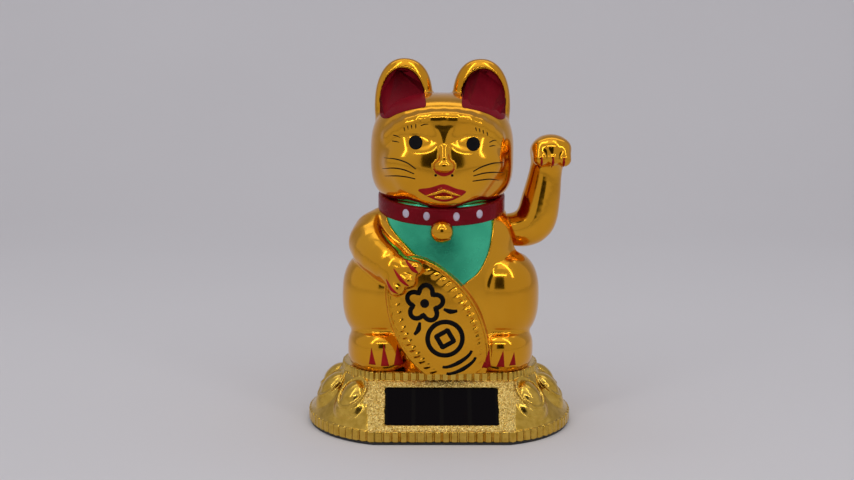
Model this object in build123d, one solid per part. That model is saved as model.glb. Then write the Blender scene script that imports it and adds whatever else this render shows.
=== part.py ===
from build123d import *

import math
import os

# Solar-powered beckoning cat figurine, about 118 mm tall.
#
# Frame: millimetres, +Z up, the cat faces -Y, its raised arm is on +X.
# Origin: middle of the flat underside.  The swinging assembly (arm, axle, lever, weight,
# magnet) turns about an axle that runs along X through the shoulders.

# ---- driving dimensions, mm -------------------------------------------------
WALL = 1.8                  # moulded wall of the shells
LOBE_X = 11.5               # the base plan is two arcs, centred this far either side
RIM_R = 31.5                # arc radius of the base rim
RIM_FLAT = 30.0             # distance of the rim's straight front and back from the axis
RIM_TOP = 4.3
COVER_T = 1.6               # bottom cover
COVER_PROUD = 0.8           # how much of it shows under the rim
BAND_R = 20.5               # arc radius of the top plate
BAND_FRONT = 17.5
BAND_BACK = 19.0
BAND_Z = 17.0               # foot of the upper ribbed band
DECK_Z = 19.8               # top of the base, where the cat sits
PETAL_ANGLES = (-48, -16, 16, 48)             # four lotus petals round each end
PETAL_R, PETAL_Z = 24.6, 10.6
PETAL_RADII = (8.2, 6.2, 4.6)
PETAL_LEAN = 42             # of each petal's long axis below the horizontal
RIM_STEP = 0.7              # ledge between the rim and the sloping flank
FLANK_PROUD = 0.4           # how far the top of the flank stands out from the band

CELL_W, CELL_H, CELL_T = 37.0, 14.6, 1.1      # solar cell glass
WINDOW_W, WINDOW_H = 35.0, 12.7               # opening it looks through
WINDOW_LIP = 0.7                              # wall left in front of the cell

PARTING_Y = -4.0            # the body splits into front and rear shells here
PIVOT_Y, PIVOT_Z = 1.5, 63.5                  # swing axis, along X
AXLE_R = 1.0
AXLE_CLEAR = 0.05
SHOULDER_HOLE_R = 4.6
COLLAR_A, COLLAR_B = 18.5, 16.4               # inside half axes of the collar
COLLAR_T = 2.0
COLLAR_LOW, COLLAR_HIGH = -2.6, 2.2           # its edges, from its middle height
COLLAR_Z = 72.0
COLLAR_DIP = 0.18           # slope of the collar towards the front
BELL_AT, BELL_R = (0, -18.6, 65.0), 3.6
ARM_STUB_R = 3.9
ARM_WALL = 1.1

FRAME_X, FRAME_T = 10.0, 3.0                  # middle and thickness of the bush uprights
FRAME_BACK, FRAME_BAR, FRAME_H = 11.5, 2.4, 6.0
FRAME_SCREWS = (-5.5, 5.5)
BUSH_R = 2.2
PENDULUM_L = 40.0           # axle to the magnet's lower face
MAGNET_R, MAGNET_T = 4.0, 3.0
CUP_R = 4.7
WEIGHT_R, WEIGHT_L, WEIGHT_DROP = 4.6, 11.0, 27.0
HUB_R = 3.4

COIL_R, BOBBIN_R, BOBBIN_CORE_R = 8.4, 9.2, 3.2
COIL_HOLE_R = 10.2          # hole in the top plate that the coil looks through
BOARD_Z, BOARD_T = 6.0, 1.2
BOARD_SIZE = (34.0, 28.0)
BOARD_Y = 5.0
COVER_SCREWS = [(29.0, 9.0), (-29.0, 9.0), (29.0, -9.0), (-29.0, -9.0)]
BODY_SCREWS = [(18.0, 5.0), (-18.0, 5.0)]
BOSS_TOP = 30.0             # top of the bosses that take them

# torso cross-sections: height, half width, half depth, centre in Y
TORSO = [
    (DECK_Z, 27.0, 16.5, 2.0),
    (24.0, 29.2, 19.0, 1.5),
    (31.0, 30.0, 20.6, 1.0),
    (42.0, 29.6, 20.8, 1.0),
    (52.0, 26.4, 19.8, 1.0),
    (60.0, 22.6, 18.8, 0.8),
    (67.0, 19.8, 17.6, 0.0),
    (76.0, 17.0, 15.0, -0.6),
]
HEAD_AT = (0, -1.4, 87.0)
HEAD_RADII = (22.9, 19.6, 20.0)
EAR_X, EAR_Z = 12.6, 103.0  # middle of each ear
EAR_W, EAR_H = 8.6, 14.7
EAR_RIM, EAR_CREASE = 1.8, 104.5
EAR_FLOOR_Y = -4.6          # bottom of the hollow in the front of the ear


def ellipsoid(centre, radii):
    """Closed ellipsoid at a centre, its poles front and back."""
    return Pos(*centre) * scale(Rot(90, 0, 0) * Sphere(1), by=tuple(radii))


def cylinder(radius, z0, z1, x=0.0, y=0.0):
    """Upright cylinder between two heights."""
    return Pos(x, y, (z0 + z1) / 2) * Cylinder(radius, z1 - z0)


def x_cylinder(radius, x0, x1, y, z):
    """Cylinder along X."""
    return Pos((x0 + x1) / 2, y, z) * Rot(0, 90, 0) * Cylinder(radius, x1 - x0)


def y_cylinder(radius, y0, y1, x, z):
    """Cylinder along Y."""
    return Pos(x, (y0 + y1) / 2, z) * Rot(90, 0, 0) * Cylinder(radius, y1 - y0)


def block(x0, x1, y0, y1, z0, z1):
    """Box between two corners."""
    return Pos((x0 + x1) / 2, (y0 + y1) / 2, (z0 + z1) / 2) * Box(x1 - x0, y1 - y0, z1 - z0)


def oval_loft(sections, inset=0.0):
    """Smooth solid through elliptical sections (height, half width, half depth, centre Y)."""
    faces = [
        Pos(0, cy, z) * Ellipse(a - inset, b - inset)
        for z, a, b, cy in sections
    ]
    return loft(faces)


def capsule_chain(balls):
    """Round-ended limb: balls (x, y, z, radius) joined by tapered cylinders."""
    limb = None
    for (x, y, z, r), (x2, y2, z2, r2) in zip(balls, balls[1:]):
        start, end = Vector(x, y, z), Vector(x2, y2, z2)
        along = end - start
        # the cone touches both balls where their common tangent does
        tilt = (r - r2) / along.length
        side = math.sqrt(1 - tilt * tilt)
        unit = along.normalized()
        near, far = start + unit * (r * tilt), end + unit * (r2 * tilt)
        height = (far - near).length
        cone = Plane(near, z_dir=unit) * Pos(0, 0, height / 2) * Cone(r * side, r2 * side, height)
        piece = Pos(x2, y2, z2) * Sphere(r2) + cone
        limb = piece + Pos(x, y, z) * Sphere(r) if limb is None else limb + piece
    return limb


# ---- base -------------------------------------------------------------------
def base_plan(radius, front, back, z):
    """Face of the base outline at one height: two arcs joined by straight front and back."""
    xf = LOBE_X + math.sqrt(radius**2 - front**2)
    xb = LOBE_X + math.sqrt(radius**2 - back**2)
    tip = LOBE_X + radius
    outline = [
        Line((-xf, -front), (xf, -front)),
        ThreePointArc((xf, -front), (tip, 0), (xb, back)),
        Line((xb, back), (-xb, back)),
        ThreePointArc((-xb, back), (-tip, 0), (-xf, -front)),
    ]
    return Pos(0, 0, z) * make_face(Curve() + outline)


def base_prism(radius, front, back, z0, z1):
    return extrude(base_plan(radius, front, back, z0), z1 - z0)


def flank(inset=0.0, drop=0.0):
    """Sloping body of the base, from the rim to the upper band."""
    foot = RIM_STEP + inset
    head = inset - FLANK_PROUD
    low = base_plan(RIM_R - foot, RIM_FLAT - foot, RIM_FLAT - foot, RIM_TOP - drop)
    high = base_plan(BAND_R - head, BAND_FRONT - head, BAND_BACK - head, BAND_Z - drop)
    return loft([low, high], ruled=True)


def petals():
    """Egg-shaped lotus petals round both ends of the base, lying on its slope."""
    eggs = []
    for side in (1, -1):
        for angle in PETAL_ANGLES:
            a = math.radians(angle)
            centre = (side * (LOBE_X + PETAL_R * math.cos(a)), PETAL_R * math.sin(a), PETAL_Z)
            turn = angle if side > 0 else 180 - angle
            egg = Rot(0, 0, turn) * Rot(0, PETAL_LEAN, 0) * scale(Sphere(1), by=PETAL_RADII)
            eggs.append(Pos(*centre) * egg)
    return eggs


def slope_plane():
    """Plane on the sloping front: local X across, local Y up the slope, Z outwards."""
    low = Vector(0, -(RIM_FLAT - RIM_STEP), RIM_TOP)
    high = Vector(0, -(BAND_FRONT + FLANK_PROUD), BAND_Z)
    up = (high - low).normalized()
    return Plane((low + high) * 0.5, x_dir=(1, 0, 0), z_dir=Vector(1, 0, 0).cross(up))


def build_base_shell():
    rim = base_prism(RIM_R, RIM_FLAT, RIM_FLAT, COVER_PROUD, RIM_TOP)
    band = base_prism(BAND_R, BAND_FRONT, BAND_BACK, BAND_Z, DECK_Z)
    outer = rim + band + flank()
    for egg in petals():
        outer += egg
    outer &= block(-50, 50, -50, 50, COVER_PROUD, DECK_Z + 0.6)
    inner_rim = base_prism(RIM_R - WALL, RIM_FLAT - WALL, RIM_FLAT - WALL, COVER_PROUD, RIM_TOP - WALL)
    top = base_prism(
        BAND_R - WALL, BAND_FRONT - WALL, BAND_BACK - WALL, BAND_Z - WALL, DECK_Z - WALL
    )
    inner = inner_rim + flank(WALL, WALL) + top
    bosses = [cylinder(2.9, COVER_T, DECK_Z - WALL + 0.2, x, y) for x, y in COVER_SCREWS]
    shell = outer - inner
    for boss in bosses:
        shell += boss
    plane = slope_plane()
    window = plane * Box(WINDOW_W, WINDOW_H, 12)
    pocket = plane * Pos(0, 0, -WINDOW_LIP - 4) * Box(CELL_W + 0.3, CELL_H + 0.3, 8)
    shell -= window + pocket
    shell -= cylinder(COIL_HOLE_R, BAND_Z - 4, DECK_Z + 2, 0, PIVOT_Y)
    for x, y in BODY_SCREWS:
        shell -= cylinder(1.5, BAND_Z - 2, DECK_Z + 2, x, y)
    for x, y in COVER_SCREWS:
        shell -= cylinder(1.0, 0, 10, x, y)
    return shell


def build_bottom_cover():
    """Flat cover that closes the base, with counterbores for its screws and posts for the board."""
    skirt = base_prism(RIM_R - 0.5, RIM_FLAT - 0.5, RIM_FLAT - 0.5, 0, COVER_PROUD)
    tongue_in = WALL + 0.15
    tongue = base_prism(RIM_R - tongue_in, RIM_FLAT - tongue_in, RIM_FLAT - tongue_in, 0, COVER_T)
    cover = skirt + tongue
    for x, y in board_holes():
        cover += cylinder(2.0, COVER_T - 0.1, BOARD_Z, x, y)
    for x, y in board_holes():
        cover -= cylinder(0.8, 2.4, BOARD_Z + 1, x, y)
    for x, y in COVER_SCREWS:
        cover -= cylinder(1.4, -1, 3, x, y) + cylinder(2.5, -1, 0.9, x, y)
    return cover


def board_holes():
    half_w, half_d = BOARD_SIZE[0] / 2 - 2.5, BOARD_SIZE[1] / 2 - 2.5
    return [(half_w, BOARD_Y + half_d), (-half_w, BOARD_Y + half_d)]


def pan_screw(x, y, z_head, length, up=True, shank=0.95, head=2.2, head_t=1.3):
    """Self-tapping screw standing at z_head, its shank going up (or down)."""
    way = 1 if up else -1
    screw = cylinder(head, *sorted((z_head, z_head - way * head_t)), x, y)
    screw += cylinder(shank, *sorted((z_head - way * 0.2, z_head + way * length)), x, y)
    slot = Pos(x, y, z_head - way * head_t) * Box(2.6, 0.6, 1.0)
    slot += Pos(x, y, z_head - way * head_t) * Box(0.6, 2.6, 1.0)
    return screw - slot


# ---- electronics ------------------------------------------------------------
def build_solar_cell():
    return slope_plane() * Pos(0, 0, -WINDOW_LIP - CELL_T / 2) * Box(CELL_W, CELL_H, CELL_T)


def build_circuit_board():
    board = block(
        -BOARD_SIZE[0] / 2, BOARD_SIZE[0] / 2,
        BOARD_Y - BOARD_SIZE[1] / 2, BOARD_Y + BOARD_SIZE[1] / 2,
        BOARD_Z, BOARD_Z + BOARD_T,
    )
    for x, y in board_holes():
        board -= cylinder(1.1, BOARD_Z - 1, BOARD_Z + 3, x, y)
    return board


BOBBIN_LOW, BOBBIN_TOP, FLANGE_T = BOARD_Z + BOARD_T, 19.6, 0.9


def build_bobbin():
    bobbin = cylinder(BOBBIN_CORE_R, BOBBIN_LOW, BOBBIN_TOP, 0, PIVOT_Y)
    bobbin += cylinder(BOBBIN_R, BOBBIN_LOW, BOBBIN_LOW + FLANGE_T, 0, PIVOT_Y)
    bobbin += cylinder(BOBBIN_R - 0.5, BOBBIN_TOP - FLANGE_T, BOBBIN_TOP, 0, PIVOT_Y)
    return bobbin - cylinder(2.0, BOBBIN_LOW - 1, BOBBIN_TOP + 1, 0, PIVOT_Y)


def build_coil():
    low, top = BOBBIN_LOW + FLANGE_T, BOBBIN_TOP - FLANGE_T
    return cylinder(COIL_R, low, top, 0, PIVOT_Y) - cylinder(BOBBIN_CORE_R, low, top, 0, PIVOT_Y)


def build_capacitor():
    can = cylinder(2.5, BOARD_Z + BOARD_T, BOARD_Z + BOARD_T + 8, 12.5, 8.0)
    return fillet(can.edges().group_by(Axis.Z)[-1], 0.5)


def build_driver_chip():
    """Epoxy blob over the driver die."""
    blob = ellipsoid((-12.5, 8.0, BOARD_Z + BOARD_T), (3.6, 3.6, 1.6))
    return blob & block(-20, 0, 0, 20, BOARD_Z + BOARD_T, 12)


def build_lead(side):
    """Insulated wire from a tab behind the cell to a pad on the board's front edge."""
    plane = slope_plane()
    tab = plane.from_local_coords(Vector(side * 9.0, 0.5, -WINDOW_LIP - CELL_T))
    out = plane.from_local_coords(Vector(side * 9.0, 0.5, -WINDOW_LIP - CELL_T - 2.6))
    pad_top = BOARD_Z + BOARD_T
    pad = Vector(side * 12.0, BOARD_Y - BOARD_SIZE[1] / 2 + 2.0, pad_top)
    route = [tab, out, Vector(side * 10.6, -10.6, pad_top + 3.6), pad + Vector(0, 0, 3.0), pad]
    path = FilletPolyline(*route, radius=1.3)
    return sweep(Plane(tab, z_dir=(out - tab)) * Circle(0.55), path=path)


# ---- cat body ---------------------------------------------------------------
def build_ear(side):
    return ellipsoid((side * EAR_X, -1.5, EAR_Z), (EAR_W, 6.0, EAR_H))


def ear_hollow(side, y0, y1):
    """Upright oval column inside the ear's rim, between two depths, above the crease."""
    oval = Plane.XZ * Pos(side * EAR_X, EAR_Z) * Ellipse(EAR_W - EAR_RIM, EAR_H - EAR_RIM)
    return Pos(0, y1, 0) * extrude(oval, y1 - y0) & block(-30, 30, y0, y1, EAR_CREASE, 120)


def build_muzzle():
    """Muzzle and nose, standing out of the face."""
    return [ellipsoid((0, -17.4, 83.0), (8.5, 4.5, 7.5)), ellipsoid((0, -20.6, 85.0), (2.7, 2.4, 2.2))]


def build_haunches(inset=0.0):
    """Thighs and feet of the sitting cat."""
    haunches = []
    for side in (1, -1):
        for centre, radii in (
            ((side * 19.6, -4.0, 38.5), (12.6, 14.5, 16.5)),
            ((side * 19.6, -9.8, 25.4), (10.6, 10.0, 6.6)),
        ):
            haunches.append(ellipsoid(centre, [radius - inset for radius in radii]))
    return haunches


def build_limbs():
    """Relief on the body: thighs, feet, resting arm, oval coin and tail."""
    arm = capsule_chain([(-20.5, 0.0, 61.0, 8.4), (-22.4, -6.0, 57.5, 7.4), (-13.0, -17.0, 53.4, 5.2)])
    coin = Pos(-1.2, -11.0, 35.4) * Rot(90, 0, 0) * Rot(0, 0, 28) * extrude(Ellipse(13.8, 20.4), 10.6)
    tail = capsule_chain([(3.0, 19.0, 26.0, 4.0), (10.0, 20.0, 29.0, 3.6), (12.0, 19.0, 36.0, 2.8)])
    return build_haunches() + [arm, coin, tail]


def collar_plan(grow, z0, z1):
    """Ring section round the neck, dipping towards the front."""
    tilt = Plane((0, -0.3, COLLAR_Z), x_dir=(1, 0, 0), z_dir=(0, -COLLAR_DIP, 1))
    return tilt * Pos(0, 0, z0) * extrude(Ellipse(COLLAR_A + grow, COLLAR_B + grow), z1 - z0)


def build_collar():
    return collar_plan(COLLAR_T, COLLAR_LOW, COLLAR_HIGH) - collar_plan(0, -4, 4)


def build_collar_studs():
    """Small oval studs set round the front of the collar."""
    studs = []
    ring_a, ring_b = COLLAR_A + COLLAR_T, COLLAR_B + COLLAR_T
    for angle in (-125.5, -104.0, -76.5, -56.5):
        a = math.radians(angle)
        x, y = ring_a * math.cos(a), -0.3 + ring_b * math.sin(a)
        z = COLLAR_Z - 0.2 + COLLAR_DIP * (y + 0.3)
        turn = math.degrees(math.atan2(ring_a * math.sin(a), ring_b * math.cos(a)))
        stud = Rot(0, 0, turn) * Rot(0, 90, 0) * extrude(Ellipse(1.45, 1.1), 0.35)
        studs.append(Pos(x, y, z) * stud - build_collar())
    return studs


def build_outer_body():
    ears = [build_ear(side) for side in (1, -1)]
    outer = oval_loft(TORSO) + ellipsoid(HEAD_AT, HEAD_RADII)
    for piece in ears + build_muzzle() + build_limbs():
        outer += piece
    return outer & block(-50, 50, -40, 40, DECK_Z, 130)


def build_cavity():
    """Hollow inside the body; it runs out through the open underside."""
    below = (DECK_Z - 1, *TORSO[0][1:])
    head = ellipsoid(HEAD_AT, [radius - WALL for radius in HEAD_RADII])
    cavity = oval_loft([below] + TORSO, WALL) + head
    for piece in build_haunches(WALL):
        cavity += piece
    return cavity & block(-50, 50, -40, 40, DECK_Z - 1, 130)


def shoulder_hole():
    return x_cylinder(SHOULDER_HOLE_R, 10, 40, PIVOT_Y, PIVOT_Z)


def arm_recess():
    """Flat hollow in the shoulder that the arm's root swings in."""
    return x_cylinder(9.5, 20.3, 40, PIVOT_Y, PIVOT_Z)


def build_shells():
    """Front and rear body shells."""
    outer = build_outer_body() - arm_recess()
    body = outer - build_cavity() - shoulder_hole()
    for side in (1, -1):                                       # painted hollow of each ear
        body -= ear_hollow(side, -9.0, EAR_FLOOR_Y)
    ring = collar_plan(COLLAR_T, COLLAR_LOW, COLLAR_HIGH)
    body -= ring - collar_plan(0, -4, 4)
    body -= bell_blank()
    front = body & block(-50, 50, -50, PARTING_Y, 0, 130)
    rear = body & block(-50, 50, PARTING_Y, 50, 0, 130)
    inside = oval_loft(TORSO, WALL / 3)
    for x, y in BODY_SCREWS:
        boss = cylinder(3.0, DECK_Z, BOSS_TOP, x, y)
        rib = block(min(x, 2 * x), max(x, 2 * x), y - 0.8, y + 0.8, DECK_Z, BOSS_TOP - 2) & inside
        rear = rear + (boss + rib) - cylinder(1.0, DECK_Z - 1, BOSS_TOP - 2, x, y)
    for x in FRAME_SCREWS:
        boss = y_cylinder(2.2, FRAME_BACK, FRAME_BACK + 7, x, PIVOT_Z) & inside
        rear = rear + boss - y_cylinder(0.75, FRAME_BACK - 1, FRAME_BACK + 4, x, PIVOT_Z)
    return front, rear


def bell_blank():
    return Pos(*BELL_AT) * Sphere(BELL_R)


def build_bell():
    """Round bell under the collar, with its slot."""
    _, y, z = BELL_AT
    slot = block(-2.2, 2.2, y - 5.4, y - 1.4, z - 2.4, z - 2.0) + Pos(0, y - 3.0, z - 2.2) * Sphere(0.7)
    return bell_blank() - collar_plan(COLLAR_T, COLLAR_LOW, COLLAR_HIGH) - slot


# ---- swing ------------------------------------------------------------------
def build_pivot_frame():
    """U-shaped frame that carries the bushes, screwed to bosses in the rear shell."""
    low, high = PIVOT_Z - FRAME_H / 2, PIVOT_Z + FRAME_H / 2
    edge = FRAME_X + FRAME_T / 2
    frame = block(-edge, edge, FRAME_BACK - FRAME_BAR, FRAME_BACK, low, high)
    for side in (1, -1):
        x0, x1 = sorted((side * (FRAME_X - FRAME_T / 2), side * edge))
        frame += block(x0, x1, PIVOT_Y, FRAME_BACK, low, high)
        frame += x_cylinder(3.8, x0, x1, PIVOT_Y, PIVOT_Z)
        frame -= x_cylinder(BUSH_R, x0 - 1, x1 + 1, PIVOT_Y, PIVOT_Z)
    for x in FRAME_SCREWS:
        frame -= y_cylinder(0.9, FRAME_BACK - 4, FRAME_BACK + 1, x, PIVOT_Z)
    return frame


def build_bush(side):
    """Flanged bush pressed into one upright, its flange towards the lever."""
    inner, outer = side * (FRAME_X - FRAME_T / 2), side * (FRAME_X + FRAME_T / 2)
    bush = x_cylinder(BUSH_R, *sorted((inner, outer)), PIVOT_Y, PIVOT_Z)
    bush += x_cylinder(3.0, *sorted((inner, inner - side * 0.6)), PIVOT_Y, PIVOT_Z)
    return bush - x_cylinder(AXLE_R + AXLE_CLEAR, -20, 20, PIVOT_Y, PIVOT_Z)


def build_frame_screws():
    screws = []
    front = FRAME_BACK - FRAME_BAR
    for x in FRAME_SCREWS:
        head = y_cylinder(1.6, front - 1.2, front, x, PIVOT_Z)
        screws.append(head + y_cylinder(0.7, front - 0.4, FRAME_BACK + 3.4, x, PIVOT_Z))
    return screws


AXLE_X0, AXLE_X1 = -13.0, 26.0


def build_axle():
    return x_cylinder(AXLE_R, AXLE_X0, AXLE_X1, PIVOT_Y, PIVOT_Z)


def weight_centre(offset):
    return PIVOT_Y + offset, PIVOT_Z - WEIGHT_DROP


def build_lever(offset):
    """Pendulum lever: hub on the axle, flat stem, seat for the weight, cup for the magnet."""
    low = PIVOT_Z - PENDULUM_L
    lever = x_cylinder(HUB_R, -4.0, 4.0, PIVOT_Y, PIVOT_Z)
    lever += block(-1.6, 1.6, PIVOT_Y - 2.5, PIVOT_Y + 2.5, low + 4, PIVOT_Z)
    lever += cylinder(CUP_R, low + 0.6, low + 5.4, 0, PIVOT_Y)
    wy, wz = weight_centre(offset)
    lever += x_cylinder(WEIGHT_R + 1.0, -1.6, 1.6, wy, wz)
    lever -= x_cylinder(WEIGHT_R, -9, 9, wy, wz)
    lever -= cylinder(MAGNET_R, low - 1, low + MAGNET_T, 0, PIVOT_Y)
    return lever - x_cylinder(AXLE_R, -9, 9, PIVOT_Y, PIVOT_Z)


def build_magnet():
    low = PIVOT_Z - PENDULUM_L
    return cylinder(MAGNET_R, low, low + MAGNET_T, 0, PIVOT_Y)


def build_weight(offset):
    wy, wz = weight_centre(offset)
    return x_cylinder(WEIGHT_R, -WEIGHT_L / 2, WEIGHT_L / 2, wy, wz)


def arm_skin(inset=0.0):
    """Raised arm: root, elbow, forearm, wrist and bent-over paw."""
    balls = [
        (23.4, PIVOT_Y, PIVOT_Z - 0.6, 4.6), (30.6, PIVOT_Y, PIVOT_Z - 0.9, 6.0),
        (33.6, PIVOT_Y, 68.6, 5.8), (34.0, PIVOT_Y + 0.4, 77.0, 5.2), (34.4, PIVOT_Y - 0.2, 84.0, 4.9),
        (35.0, PIVOT_Y - 2.6, 88.0, 5.9),
    ]
    return capsule_chain([(x, y, z, r - inset) for x, y, z, r in balls])


def build_arm():
    """Hollow arm split into front and rear halves, with the solid stub that takes the axle."""
    skin = arm_skin()
    skin += x_cylinder(ARM_STUB_R, 18.2, 24.0, PIVOT_Y, PIVOT_Z)
    hollow = arm_skin(ARM_WALL) & block(26.8, 60, -40, 40, 0, 130)
    arm = skin - hollow - x_cylinder(AXLE_R, 10, AXLE_X1, PIVOT_Y, PIVOT_Z)
    front = arm & block(0, 60, -40, PIVOT_Y, 40, 110)
    rear = arm & block(0, 60, PIVOT_Y, 40, 40, 110)
    return front, rear


# ---- paint films ------------------------------------------------------------
PAINT_T = 0.25


def build_ear_paint():
    """Coloured film in the hollow of each ear."""
    return [ear_hollow(side, EAR_FLOOR_Y - PAINT_T, EAR_FLOOR_Y) for side in (1, -1)]


def build_bib():
    """Coloured bib: a film on the chest between the collar and the coin."""
    outline = Polyline(
        (-20.0, 69.5), (-14.5, 63.5), (-8.6, 57.6), (0.0, 53.0), (7.2, 49.7),
        (12.2, 53.2), (15.4, 59.3), (17.0, 66.0), (18.0, 70.0), (-20.0, 69.5),
    )
    column = extrude(Plane.XZ * make_face(outline), 40)
    film = (oval_loft(TORSO, -PAINT_T) - oval_loft(TORSO)) & column
    for limb in build_limbs():
        film -= limb
    return film - collar_plan(COLLAR_T, COLLAR_LOW, 4) - bell_blank()


def solids_of(shape):
    shapes = shape if isinstance(shape, (list, tuple)) else [shape]
    return [solid for item in shapes for solid in item.solids()]


def moment_y(solids, density):
    """Mass times distance in Y from the swing axis, and mass, in g mm and g."""
    mass = sum(s.volume for s in solids) * density / 1e6
    turn = sum(s.volume * (s.center(CenterOf.MASS).Y - PIVOT_Y) for s in solids) * density / 1e6
    return turn, mass


PLASTIC, STEEL = 1100.0, 7850.0       # kg per cubic metre


def balance_offset(arm_halves):
    """Weight position in Y that puts the swing's centre of mass under its axle."""
    turn, _ = moment_y(solids_of(list(arm_halves)), PLASTIC)
    _, weight = moment_y(solids_of(build_weight(0.0)), STEEL)
    return -turn / weight


def main():
    os.makedirs("parts", exist_ok=True)
    front_shell, rear_shell = build_shells()
    arm_front, arm_rear = build_arm()
    offset = balance_offset((arm_front, arm_rear))
    print("weight offset in Y for balance:", round(offset, 3), "mm")
    nodes = {
        "bottom_cover": build_bottom_cover(),
        "cover_screws": [pan_screw(x, y, 0.9, 7.0, head_t=0.8) for x, y in COVER_SCREWS],
        "base_shell": build_base_shell(),
        "solar_cell": build_solar_cell(),
        "circuit_board": build_circuit_board(),
        "coil_bobbin": build_bobbin(),
        "drive_coil": build_coil(),
        "storage_capacitor": build_capacitor(),
        "driver_chip": build_driver_chip(),
        "lead_positive": build_lead(1),
        "lead_negative": build_lead(-1),
        "board_screws": [
            pan_screw(x, y, BOARD_Z + BOARD_T, 3.2, up=False, shank=0.78) for x, y in board_holes()
        ],
        "body_screws": [pan_screw(x, y, DECK_Z - WALL, 8.0) for x, y in BODY_SCREWS],
        "front_shell": front_shell,
        "rear_shell": rear_shell,
        "collar": build_collar(),
        "collar_studs": build_collar_studs(),
        "bell": build_bell(),
        "ear_paint": build_ear_paint(),
        "bib_paint": build_bib(),
        "pivot_frame": build_pivot_frame(),
        "frame_screws": build_frame_screws(),
        "left_bush": build_bush(1),
        "right_bush": build_bush(-1),
        "axle": build_axle(),
        "pendulum_lever": build_lever(offset),
        "balance_weight": build_weight(offset),
        "magnet": build_magnet(),
        "arm_front_half": arm_front,
        "arm_rear_half": arm_rear,
    }
    for name, shape in nodes.items():
        solids = solids_of(shape)
        whole = Compound(children=solids) if len(solids) > 1 else solids[0]
        export_step(whole, f"parts/{name}.step")


main()
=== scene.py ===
"""Looks of a gold-plated, solar-powered beckoning cat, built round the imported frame.

The gold mouldings are modelled as distance fields in millimetres (smooth unions of
ellipsoids and tapered limbs), meshed here and laid on the frame.  Paint is thin film
that follows the moulded surface.  +Z is up and the cat faces -Y.
"""

import math

import bmesh
import bpy
import numpy as np
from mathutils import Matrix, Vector


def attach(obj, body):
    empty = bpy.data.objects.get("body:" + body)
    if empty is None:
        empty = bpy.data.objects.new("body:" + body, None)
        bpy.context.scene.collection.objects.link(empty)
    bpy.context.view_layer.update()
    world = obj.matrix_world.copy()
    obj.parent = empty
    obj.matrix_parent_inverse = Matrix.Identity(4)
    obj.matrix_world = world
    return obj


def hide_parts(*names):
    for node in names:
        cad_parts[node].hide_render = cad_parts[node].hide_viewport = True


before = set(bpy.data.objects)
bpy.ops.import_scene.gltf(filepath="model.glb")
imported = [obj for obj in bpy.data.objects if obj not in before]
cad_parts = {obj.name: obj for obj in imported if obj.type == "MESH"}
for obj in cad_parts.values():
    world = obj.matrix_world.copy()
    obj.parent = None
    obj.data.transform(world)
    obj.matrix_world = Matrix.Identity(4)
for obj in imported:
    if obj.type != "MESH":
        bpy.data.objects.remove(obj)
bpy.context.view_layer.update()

MM = 0.001

# ---- sizes, mm ----
DECK_Z = 19.8  # top of the base
PARTING_Y = -4.0  # front and rear shells meet here
PARTING_GAP = 0.07  # half the fine gap between them
ARM_GAP = 0.04  # and between the halves of the raised arm
WALL = 1.5  # moulded wall
PIVOT_Y, PIVOT_Z = 1.5, 63.5
EAR_X, EAR_Z = 12.4, 104.0
EAR_HOLLOW = (7.3, 11.5)  # half width and half height of the hollow in each ear
COLLAR_MIDDLE = (19.4, 17.3)  # half axes of the collar's middle line
COLLAR_HALF = (1.0, 2.8)  # half thickness and half height
COLLAR_Z, COLLAR_DIP = 72.2, 0.18  # its middle at the side, and its slope to the front
BELL_AT, BELL_R = (-0.4, -19.3, 64.7), 3.6
FILM = 0.10  # how far a paint film stands off the moulding


def cell(fine):
    """Grid step for meshing."""
    return fine


# ---- distance fields ----
def length(v):
    return np.sqrt((v * v).sum(-1))


def spin(degrees, axis):
    """Rotation matrix about one axis, so that q @ spin(...) is in the turned frame."""
    c, s = math.cos(math.radians(degrees)), math.sin(math.radians(degrees))
    a, b = [(1, 2), (2, 0), (0, 1)]["xyz".index(axis)]
    m = np.eye(3)
    m[a, a] = m[b, b] = c
    m[a, b], m[b, a] = -s, s
    return m


def ellipsoid(p, centre, radii, turn=None, power=2.0):
    """Ellipsoid, or with a power above 2 a fuller form that is still round in plan."""
    q = p - np.array(centre)
    if turn is not None:
        q = q @ turn
    a, b, c = radii
    plan = (q[:, 0] / a) ** 2 + (q[:, 1] / b) ** 2 + 1e-9
    rise = np.abs(q[:, 2]) / c
    level = (plan ** (power / 2) + rise**power) ** (1 / power)
    side = plan ** (power / 2 - 1)
    slope = np.sqrt(
        (side * q[:, 0] / a**2) ** 2 + (side * q[:, 1] / b**2) ** 2 + (rise ** (power - 1) / c) ** 2
    )
    return (level - 1) * level ** (power - 1) / np.maximum(slope, 1e-3)


def ellipse(x, y, a, b):
    """Upright tube, oval in plan."""
    k0 = np.sqrt((x / a) ** 2 + (y / b) ** 2) + 1e-9
    k1 = np.sqrt((x / a**2) ** 2 + (y / b**2) ** 2) + 1e-9
    return k0 * (k0 - 1) / k1


def cone(p, a, b, ra, rb):
    """Two balls and the taper that touches both."""
    a, b = np.array(a, float), np.array(b, float)
    along = b - a
    l2 = along @ along
    dr = ra - rb
    a2 = l2 - dr * dr
    pa = p - a
    y = pa @ along
    z = y - l2
    x2 = ((pa * l2 - y[:, None] * along) ** 2).sum(-1)
    y2, z2 = y * y * l2, z * z * l2
    k = np.sign(dr) * dr * dr * x2
    d = (np.sqrt(x2 * a2 / l2) + y * dr) / l2 - ra
    d = np.where(np.sign(z) * a2 * z2 > k, np.sqrt(x2 + z2) / l2 - rb, d)
    return np.where(np.sign(y) * a2 * y2 < k, np.sqrt(x2 + y2) / l2 - ra, d)


def join(a, b, soft):
    """Union with a fillet about `soft` wide."""
    h = np.clip(0.5 + 0.5 * (b - a) / soft, 0, 1)
    return b * (1 - h) + a * h - soft * h * (1 - h)


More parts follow.
